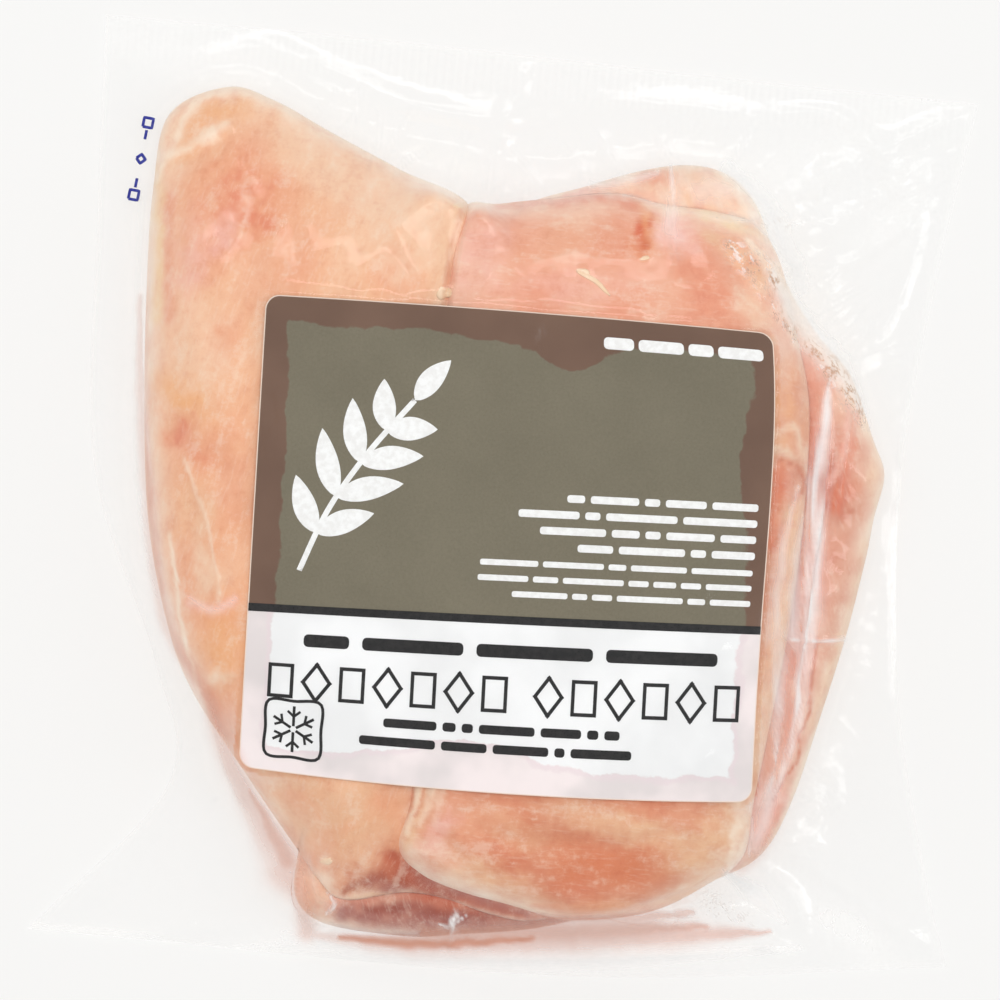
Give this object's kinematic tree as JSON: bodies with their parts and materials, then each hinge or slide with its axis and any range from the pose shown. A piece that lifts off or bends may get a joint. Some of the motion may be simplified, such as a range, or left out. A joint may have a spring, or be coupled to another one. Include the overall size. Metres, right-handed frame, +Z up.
{
  "type": "vacuum pack of raw chicken breasts",
  "caption": "Clear vacuum-sealed pouch drawn tight over raw boneless chicken breasts side by side, with a square paper label inside, lying on its back.",
  "frame": {"origin": "middle of the bag's bounding rectangle, on the surface that the pack lies on", "axes": "+X to the right as the label is read, +Y towards the pack's top edge, +Z up out of the label"},
  "size_m": [0.192, 0.1945, 0.0343],
  "materials": {
    "raw_chicken": "moist raw poultry seen through tight clear film",
    "clear_film": "thin clear glossy film with fine wrinkles",
    "label_paper": "matt printed paper, damp and darker round its border",
    "label_print": "flat printed ink"
  },
  "bodies": {
    "root": {"pouch": "raw_chicken", "label": "label_paper"}
  },
  "joints": []
}
